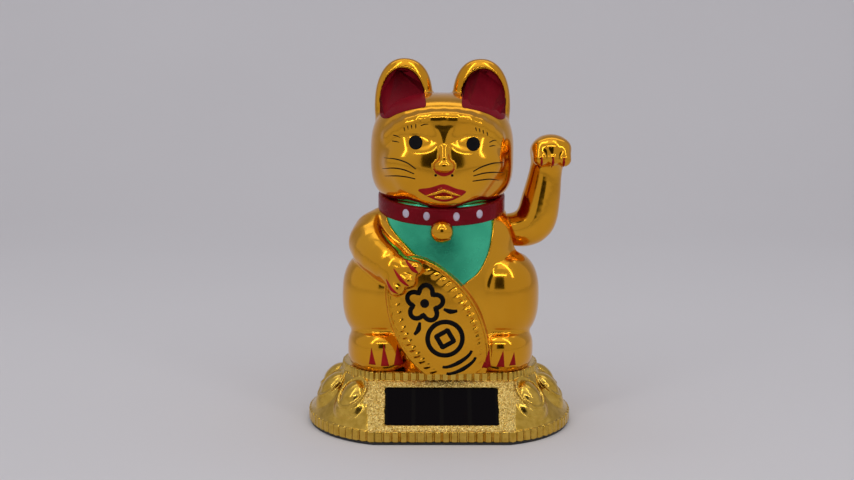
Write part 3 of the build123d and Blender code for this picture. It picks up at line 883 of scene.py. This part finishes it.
def lacquer(name, dark, light, metallic=0.0, rough=(0.3, 0.42), gloss=0.12, puddle_and_sheen_scale=150):
    """Brushed-on lacquer: colour pools in patches, `puddle_and_sheen_scale` to the metre, and the film is
    slightly uneven; on the green bib the broad light and dark patches are painted highlight and painted
    shade.
    """
    tones = [(0.32, dark), (0.68, light)]
    material, shader = surface(name, tones, (puddle_and_sheen_scale, 4), metallic, rough, (500, 3), (420, 3), 0.12, 0.0003)
    shader.inputs["Specular IOR Level"].default_value = gloss
    return material


def plain(name, dark, light, metallic=0.0, rough=(0.35, 0.55), scale=300):
    """Moulded plastic or plain metal with a fine grain."""
    tones, coarse, fine = [(0.3, dark), (0.7, light)], (scale * 2, 3), (scale * 6, 2)
    return surface(name, tones, (scale, 4), metallic, rough, coarse, fine, 0.25, 0.0002)[0]


def bands(nodes, links, axis, scale, wobble=0.0):
    """Straight bands across one axis; scale is in bands per metre over 2 pi."""
    where = nodes.new("ShaderNodeTexCoord")
    wave = nodes.new("ShaderNodeTexWave")
    wave.wave_type = "BANDS"
    wave.bands_direction = axis
    wave.inputs["Scale"].default_value = scale
    wave.inputs["Distortion"].default_value = wobble
    links.new(where.outputs["Object"], wave.inputs["Vector"])
    return wave.outputs["Fac"]


def cell_glass():
    """Amorphous solar cell: near-black strips with hairlines between them, under glass."""
    material, nodes, links, shader = new_material("cell_glass")
    strips = bands(nodes, links, "X", 36)
    tones = [(0.03, (0.006, 0.005, 0.005)), (0.07, (0.003, 0.002, 0.003))]
    links.new(ramp(nodes, links, strips, tones), shader.inputs["Base Color"])
    links.new(spread(nodes, links, noise(nodes, links, 90, 3), 0.05, 0.10), shader.inputs["Roughness"])
    shader.inputs["Specular IOR Level"].default_value = 0.03
    bump(nodes, links, shader, strips, 0.05, 0.0001)
    return material


def wound_copper():
    """Enamelled wire, layer upon layer."""
    material, nodes, links, shader = new_material("wound_copper")
    turns = bands(nodes, links, "Z", 900, 0.4)
    # The tone ramp darkens the band between neighbouring turns: painted shade in the grooves between the
    # wires.
    tones = [(0.1, (0.20, 0.05, 0.015)), (0.6, (0.80, 0.30, 0.12))]
    links.new(ramp(nodes, links, turns, tones), shader.inputs["Base Color"])
    shader.inputs["Metallic"].default_value = 1.0
    links.new(spread(nodes, links, noise(nodes, links, 600, 2), 0.24, 0.36), shader.inputs["Roughness"])
    bump(nodes, links, shader, turns, 0.6, 0.0002)
    return material


GOLD = plated_gold()
BASE_GOLD = base_gold()
SAND = sandy_gold()
BLACK_PAINT = lacquer("black_paint", (0.003, 0.003, 0.004), (0.007, 0.006, 0.006), gloss=0.06)
RED_PAINT = lacquer("red_paint", (0.30, 0.004, 0.005), (0.42, 0.010, 0.010))
CRIMSON = lacquer("ear_crimson", (0.19, 0.003, 0.010), (0.23, 0.005, 0.014), gloss=0.06)
COLLAR_RED = lacquer("collar_red", (0.18, 0.002, 0.007), (0.25, 0.003, 0.012), 0.15, (0.2, 0.3))
# Bib green: the broad light and dark patches of its wide tone range are painted highlight and painted shade
# over the uneven lacquer.
BIB_GREEN_AND_PAINTED_SHEEN = lacquer("bib_green", (0.03, 0.36, 0.20), (0.11, 0.80, 0.46), 1.0, (0.2, 0.28), 0.5, 45)
PEARL = lacquer("stud_pearl", (0.55, 0.48, 0.60), (0.74, 0.68, 0.80), 0.0, (0.2, 0.3), 0.4)
BLACK_PLASTIC = plain("black_plastic", (0.010, 0.010, 0.010), (0.020, 0.020, 0.021))
STEEL = plain("screw_steel", (0.42, 0.42, 0.44), (0.60, 0.60, 0.62), 1.0, (0.22, 0.36), 900)
NATURAL_PLASTIC = plain("natural_plastic", (0.60, 0.58, 0.52), (0.70, 0.68, 0.62), 0.0, (0.38, 0.5))
BRASS = plain("bush_brass", (0.55, 0.36, 0.12), (0.72, 0.50, 0.18), 1.0, (0.2, 0.34), 700)
NICKEL = plain("magnet_nickel", (0.55, 0.53, 0.50), (0.68, 0.66, 0.62), 1.0, (0.12, 0.22), 500)
LAMINATE = plain("board_laminate", (0.10, 0.075, 0.022), (0.16, 0.12, 0.04), 0.0, (0.4, 0.55), 420)
SLEEVE = plain("capacitor_sleeve", (0.012, 0.016, 0.05), (0.02, 0.028, 0.075), 0.0, (0.25, 0.4))
EPOXY = plain("chip_epoxy", (0.006, 0.006, 0.006), (0.014, 0.014, 0.014), 0.0, (0.18, 0.3), 500)
LEAD_RED = plain("lead_red", (0.30, 0.01, 0.01), (0.42, 0.02, 0.015), 0.0, (0.35, 0.5), 500)
LEAD_BLACK = plain("lead_black", (0.01, 0.01, 0.01), (0.02, 0.02, 0.02), 0.0, (0.35, 0.5), 500)

NODE_MATERIALS = {
    "bottom_cover": BLACK_PLASTIC,
    "cover_screws": STEEL,
    "solar_cell": cell_glass(),
    "circuit_board": LAMINATE,
    "coil_bobbin": NATURAL_PLASTIC,
    "drive_coil": wound_copper(),
    "storage_capacitor": SLEEVE,
    "driver_chip": EPOXY,
    "lead_positive": LEAD_RED,
    "lead_negative": LEAD_BLACK,
    "board_screws": STEEL,
    "body_screws": STEEL,
    "pivot_frame": NATURAL_PLASTIC,
    "frame_screws": STEEL,
    "left_bush": BRASS,
    "right_bush": BRASS,
    "axle": STEEL,
    "pendulum_lever": NATURAL_PLASTIC,
    "balance_weight": STEEL,
    "magnet": NICKEL,
}


def dress_nodes():
    """Materials of the CAD pieces that stay as they are."""
    for name, material in NODE_MATERIALS.items():
        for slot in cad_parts[name].material_slots:
            slot.material = material


# ---- gold mouldings ----
def build_shells():
    """Front and rear shells of the body, cut at the parting plane and at the deck."""
    def shell(p):
        d = cat(p)
        return both(d, -(d + WALL), 0.1)

    verts, faces = skin(shell, (-34.5, -28.0, 18.6), (34.5, 27.0, 119.0), cell(0.56))
    whole = mesh_object("front_body", verts, faces, GOLD)
    slice_off(whole, (0, 0, DECK_Z + 0.05), (0, 0, -1))
    rear = duplicate(whole, "rear_body")
    slice_off(whole, (0, PARTING_Y - PARTING_GAP, 0), (0, 1, 0))
    slice_off(rear, (0, PARTING_Y + PARTING_GAP, 0), (0, -1, 0))
    for piece, node in ((whole, "front_shell"), (rear, "rear_shell")):
        true_normals(piece, shell)
        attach(piece, "figure")
        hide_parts(node)


def build_raised_arm():
    """Two halves of the raised arm, cut in the plane of its axle."""
    verts, faces = skin(raised_arm, (17.0, -14.0, 54.0), (43.5, 10.0, 96.0), cell(0.45))
    front = mesh_object("arm_front", verts, faces, GOLD)
    rear = duplicate(front, "arm_rear")
    slice_off(front, (0, PIVOT_Y - ARM_GAP, 0), (0, 1, 0))
    slice_off(rear, (0, PIVOT_Y + ARM_GAP, 0), (0, -1, 0))
    for piece, node in ((front, "arm_front_half"), (rear, "arm_rear_half")):
        true_normals(piece, raised_arm)
        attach(piece, "swing")
        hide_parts(node)


def build_base():
    """Base moulding: pale plating, with a sandy panel round the window."""
    verts, faces = skin(base, (-44.5, -31.5, -0.6), (44.5, 31.5, 21.0), cell(0.5))
    piece = mesh_object("base_moulding", verts, faces, BASE_GOLD)
    piece.data.materials.append(SAND)
    across, up, out = slope_axes(verts)
    sandy = (np.abs(across) < SANDY[0]) & (np.abs(up) < SANDY[1]) & (np.abs(out) < 0.5)
    for polygon in piece.data.polygons:
        if sandy[list(polygon.vertices)].all():
            polygon.material_index = 1
    true_normals(piece, base)
    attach(piece, "figure")
    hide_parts("base_shell")


def add_piece(name, parts, material, node=None, body="figure"):
    """Object from (verts, faces) pairs, on a body, with the given material."""
    verts, faces = gather(parts)
    piece = mesh_object(name, verts, faces, material)
    outward_normals(piece)
    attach(piece, body)
    if node:
        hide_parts(node)
    return piece


def build_collar():
    """Band, bell and four oval studs."""
    parts = [skin(collar, (-22.0, -20.5, 63.0), (22.0, 20.5, 81.0), cell(0.45))]
    band = add_piece("collar_band", parts, COLLAR_RED, "collar")
    true_normals(band, collar)
    parts = [skin(bell, [c - 4.5 for c in BELL_AT], [c + 4.5 for c in BELL_AT], cell(0.26))]
    ball = add_piece("collar_bell", parts, GOLD, "bell")
    true_normals(ball, bell)
    studs = []
    for x in (-11.5, -5.1, 4.1, 11.4):
        z = collar_height(-COLLAR_MIDDLE[1] * math.sqrt(1 - (x / COLLAR_MIDDLE[0]) ** 2)) + 0.1
        studs.append(patch(collar, oval(x, z, 1.0, 1.35), 5, 28, 0.35, 0.06))
    add_piece("pearl_studs", studs, PEARL, "collar_studs")


def oval(x, z, half_w, half_h, count=12):
    """Points of an oval seen from the front."""
    turns = [2 * math.pi * i / count for i in range(count)]
    return [(x + half_w * math.cos(a), z + half_h * math.sin(a)) for a in turns]


BIB = [
    (-18.0, 69.2), (-17.0, 65.6), (-13.4, 61.4), (-8.6, 56.6), (-3.0, 51.0), (3.0, 47.2), (7.3, 48.2),
    (11.6, 51.6), (14.5, 57.0), (15.7, 62.0), (16.3, 67.4), (14.8, 72.4), (8.0, 73.0), (0.0, 72.6),
    (-8.0, 73.0), (-14.8, 72.6),
]


def build_bib():
    """Painted bib, with a raised edge down either side."""
    film = patch(chest, BIB, 12, 96, 0.05, 0.16)
    add_piece("green_bib", [film], BIB_GREEN_AND_PAINTED_SHEEN, "bib_paint")
    edging = [stroke(chest, side, [0.5, 0.6, 0.6, 0.5], 0.22, 48) for side in (BIB[:4], BIB[6:11])]
    add_piece("bib_edging", edging, GOLD)


EAR_CREASE = ((7.4, 102.3), (10.6, 101.6), (14.2, 100.4), (17.4, 98.9))


def build_ear_paint():
    """Film in the hollow of each ear, down to a crease on the head."""
    parts = []
    for side in (1, -1):
        outline = []
        for degrees in range(-18, 181, 18):
            a = math.radians(degrees)
            x = EAR_X + 0.35 + (EAR_HOLLOW[0] - 0.1) * math.cos(a)
            outline.append((side * x, EAR_Z - 1.0 + (EAR_HOLLOW[1] - 0.1) * math.sin(a)))
        outline += [(side * x, z) for x, z in EAR_CREASE]
        parts.append(patch(cat, outline, 24, 160, 0.0, 0.10))
    add_piece("ear_lacquer", parts, CRIMSON, "ear_paint")


WHISKERS = [
    [(-18.3, 87.0), (-14.6, 86.9), (-11.2, 85.9), (-8.5, 84.1)],
    [(-18.8, 83.5), (-15.6, 84.1), (-12.3, 83.8), (-9.0, 82.6)],
    [(-18.1, 81.2), (-14.6, 81.7), (-11.6, 81.6), (-8.7, 81.1)],
    [(18.8, 85.8), (15.3, 85.9), (11.6, 84.9), (8.9, 83.5)],
    [(18.9, 82.5), (15.7, 83.0), (12.3, 82.9), (9.0, 82.1)],
    [(17.4, 80.2), (14.3, 80.9), (11.6, 80.8), (8.8, 80.5)],
]
LASHES = [
    [(-12.2, 96.5), (-11.9, 95.3)], [(-11.1, 97.0), (-10.9, 95.8)], [(-10.0, 97.3), (-9.8, 96.1)],
    [(-8.6, 97.5), (-8.6, 96.2)], [(-7.1, 97.1), (-6.0, 97.5), (-4.8, 97.6)],
    [(-15.5, 94.0), (-14.4, 93.8), (-13.3, 93.3)], [(-15.8, 92.2), (-14.6, 92.1), (-13.6, 91.9)],
    [(9.6, 96.7), (9.9, 95.5)], [(10.7, 96.4), (11.0, 95.2)], [(11.9, 95.9), (12.1, 94.7)],
    [(13.2, 95.3), (13.4, 94.1)], [(14.0, 92.1), (15.2, 92.6), (16.3, 92.7)],
    [(14.0, 90.9), (15.2, 91.1), (16.0, 91.0)],
]
MOUTH = [
    (-7.8, 77.6), (-4.0, 78.5), (-0.1, 79.6), (3.7, 78.3), (6.9, 77.2),
    (4.0, 75.2), (0.2, 74.2), (-4.0, 75.3),
]
PUPILS = ((-8.6, 92.0), (8.9, 91.7))
NOSE_EDGE = [(-3.2, 84.3), (-2.1, 83.2), (0.0, 82.6), (2.1, 83.2), (3.2, 84.3)]
UPPER_LIP = [(-5.2, 76.0), (-2.6, 76.7), (0.0, 77.6), (2.6, 76.7), (5.2, 76.0)]
LOWER_LIP = [(-3.2, 75.6), (0.0, 76.4), (3.2, 75.6), (0.0, 74.9)]


def build_face_paint():
    """Whiskers, lashes, nostrils, pupils, nose edge, mouth and lips."""
    hair = [stroke(cat, line, [0.14, 0.4, 0.42, 0.34], 0.05, 32) for line in WHISKERS]
    hair += [stroke(cat, line, [0.3, 0.36, 0.14], 0.05, 12) for line in LASHES]
    hair += [patch(cat, oval(x, 82.3, 0.4, 0.4), 3, 18, 0.03) for x in (-2.5, 2.5)]
    add_piece("whisker_lines", hair, BLACK_PAINT)
    pupils = [patch(cat, oval(x, z, 2.1, 2.1, 16), 6, 40, 0.10) for x, z in PUPILS]
    add_piece("pupils", pupils, BLACK_PAINT)
    red = [stroke(cat, NOSE_EDGE, [0.4, 1.1, 1.3, 1.1, 0.4])]
    red.append(patch(cat, MOUTH, 8, 64, 0.02, 0.08))
    add_piece("nose_and_mouth_lacquer", red, RED_PAINT)
    lips = [stroke(cat, UPPER_LIP, [0.4, 1.2, 1.4, 1.2, 0.4], 0.3)]
    lips.append(patch(cat, LOWER_LIP, 5, 32, 0.15))
    add_piece("lips", lips, GOLD)


FOOT_CLAWS = [
    [(-22.0, 27.9), (-20.6, 22.4), (-22.8, 22.4)], [(-18.2, 29.3), (-16.4, 22.0), (-19.0, 22.0)],
    [(-13.9, 28.7), (-11.9, 21.8), (-15.0, 21.8)], [(14.8, 27.6), (15.6, 21.6), (12.6, 21.6)],
    [(19.3, 27.3), (19.8, 21.8), (17.2, 21.8)], [(22.8, 26.5), (23.4, 22.2), (21.3, 22.2)],
]
PAW_CLAWS = [
    [(-11.6, 56.4), (-9.0, 54.6), (-7.5, 52.6), (-9.6, 53.4)],
    [(-15.2, 53.9), (-12.6, 51.2), (-10.3, 48.7), (-13.2, 50.2)],
    [(-17.4, 50.4), (-15.6, 48.2), (-13.6, 46.2), (-16.2, 47.4)],
]


def wedge(points):
    """Straight-sided outline from its corners, with extra points to keep them sharp."""
    outline = []
    for (x0, z0), (x1, z1) in zip(points, points[1:] + points[:1]):
        outline += [(x0 + (x1 - x0) * t, z0 + (z1 - z0) * t) for t in (0.0, 0.12, 0.5, 0.88)]
    return outline


def build_claws():
    """Red claws of both feet, of the resting paw and of the raised paw."""
    parts = [patch(cat, wedge(points), 5, 48, 0.05) for points in FOOT_CLAWS]
    parts += [patch(cat, points, 5, 36, 0.05) for points in PAW_CLAWS]
    add_piece("claw_lacquer", parts, RED_PAINT)
    waving = [
        stroke(raised_arm, [(x, 87.2), (x, 85.6), (x + 0.1, 83.6)], [0.3, 0.9, 0.2], 0.06, 16)
        for x in (31.2, 34.8, 38.2)
    ]
    add_piece("raised_claw_lacquer", waving, RED_PAINT, body="swing")


def on_coin(points):
    """Points along and across the coin, as seen from the front."""
    c, s = math.cos(COIN_TILT), math.sin(COIN_TILT)
    return [(COIN_MIDDLE[0] + u * c - v * s, COIN_MIDDLE[1] + u * s + v * c) for u, v in points]


def ring_points(u0, v0, radius, wave=0.0, count=40):
    """Circle, or with a wave a five-petalled blossom."""
    points = []
    for i in range(count):
        a = 2 * math.pi * i / count
        r = radius + wave * abs(math.cos(5 * a / 2))
        points.append((u0 + r * math.cos(a), v0 + r * math.sin(a)))
    return points


def build_coin_motif():
    """Blossom, ringed square and wave arcs in thick raised black strokes."""
    square = wedge([(2.4, -2.0), (6.4, -2.0), (6.4, 2.0), (2.4, 2.0)])
    parts = []
    for points in (ring_points(-8.4, 0.0, 3.6, 2.1), ring_points(4.4, 0.0, 5.4), square):
        parts.append(stroke(cat, on_coin(points), [1.5, 1.5], 0.3, 90, closed=True))
    parts.append(patch(cat, on_coin(ring_points(-8.4, 0.0, 1.4, count=16)), 4, 28, 0.2))
    for u0 in (11.6, 14.2):
        arc = [(u0 + 1.8 * math.cos(a), 5.4 * math.sin(a)) for a in np.linspace(-1.3, 1.3, 9)]
        parts.append(stroke(cat, on_coin(arc), [0.9, 1.5, 0.9], 0.3, 32))
    for way in (1, -1):
        leaf = [(-4.0, way * 4.2), (-2.2, way * 5.8), (-1.4, way * 7.6)]
        parts.append(stroke(cat, on_coin(leaf), [0.8, 1.6, 0.9], 0.3, 22))
    add_piece("coin_motif", parts, BLACK_PAINT)


build_shells()
build_raised_arm()
build_base()
build_collar()
build_bib()
build_ear_paint()
build_face_paint()
build_claws()
build_coin_motif()
dress_nodes()

# ---- studio ----
CAMERA_DISTANCE, CAMERA_HEIGHT = 360.0, 112.0
CAMERA_PITCH = 8.33
CAMERA_LENS, SENSOR = 47.15, 36.0
CAMERA_TURN = 1.7  # it stands this far round to the left
SHIFT_X = -15.8 / 854.0
CAMERA_ROLL = -0.6
TENT_GREY = (0.455, 0.445, 0.47, 1)


def backdrop_material():
    material, nodes, links, shader = new_material("studio_grey")
    tones = [(0.3, (0.71, 0.70, 0.715)), (0.7, (0.73, 0.72, 0.735))]
    links.new(ramp(nodes, links, noise(nodes, links, 3, 2), tones), shader.inputs["Base Color"])
    shader.inputs["Roughness"].default_value = 0.9
    shader.inputs["Specular IOR Level"].default_value = 0.1
    return material


def build_studio():
    """Pale floor that curves up into a backdrop."""
    half, back, high, bend = 2.5, 1.0, 2.2, 0.6
    profile = [(-2.2, 0.0)]
    for i in range(13):
        a = math.radians(90 * i / 12)
        profile.append((back - bend + bend * math.sin(a), bend - bend * math.cos(a)))
    profile.append((back, high))
    verts = [(x / MM, y / MM, z / MM) for x in (-half, half) for y, z in profile]
    n = len(profile)
    faces = [(i, i + 1, n + i + 1, n + i) for i in range(n - 1)]
    floor = mesh_object("studio_floor", np.array(verts), faces, backdrop_material())


def dark_card(name, x, y, z):
    """Black card behind the camera, for the metal to reflect."""
    corners = ((x[0], z[0]), (x[1], z[0]), (x[1], z[1]), (x[0], z[1]))
    verts = [(a / MM, y / MM, b / MM) for a, b in corners]
    black = plain(name, (0.01, 0.008, 0.006), (0.016, 0.013, 0.01))
    card = mesh_object(name, np.array(verts), [(0, 1, 2, 3)], black)


def area_light(name, at, target, size, power):
    """Rectangular white light turned towards a point; metres and watts."""
    data = bpy.data.lights.new(name, "AREA")
    data.shape = "RECTANGLE"
    data.size, data.size_y = size
    data.energy = power
    light = bpy.data.objects.new(name, data)
    light.location = at
    way = Vector(target) - Vector(at)
    light.rotation_euler = way.to_track_quat("-Z", "Y").to_euler()
    bpy.context.scene.collection.objects.link(light)


def build_camera():
    """Camera in front of the cat, a little to the left and looking slightly down."""
    data = bpy.data.cameras.new("camera")
    data.lens, data.sensor_width = CAMERA_LENS, SENSOR
    data.shift_x = SHIFT_X
    data.clip_start = 0.01
    camera = bpy.data.objects.new("camera", data)
    turn = math.radians(CAMERA_TURN)
    reach = CAMERA_DISTANCE * MM
    camera.location = (-reach * math.sin(turn), -reach * math.cos(turn), CAMERA_HEIGHT * MM)
    camera.rotation_euler = (math.radians(90 - CAMERA_PITCH), math.radians(CAMERA_ROLL), -turn)
    bpy.context.scene.collection.objects.link(camera)
    bpy.context.scene.camera = camera


def build_world():
    world = bpy.data.worlds.new("studio")
    world.use_nodes = True
    nodes = world.node_tree.nodes
    nodes["Background"].inputs["Color"].default_value = TENT_GREY
    nodes["Background"].inputs["Strength"].default_value = 1.1
    bpy.context.scene.world = world


build_studio()
build_world()
build_camera()
dark_card("dark_opening", (-0.16, 0.16), -0.62, (0.09, 0.46))
area_light("front_strip", (0, -0.60, 0.52), (0, 0, 0.06), (0.56, 0.03), 0.36)
for way, side_name in ((-1, "left_strip"), (1, "right_strip")):
    area_light(side_name, (way * 0.28, -0.28, 0.55), (0, 0, 0.06), (0.03, 0.6), 0.32)
area_light("top", (0.0, -0.2, 0.85), (0, 0, 0.05), (0.7, 0.5), 0.5)
area_light("sweep", (0.0, 0.3, 1.2), (0, 0.75, 0.1), (1.6, 0.3), 1.3)
bpy.context.scene.view_settings.view_transform = "Standard"
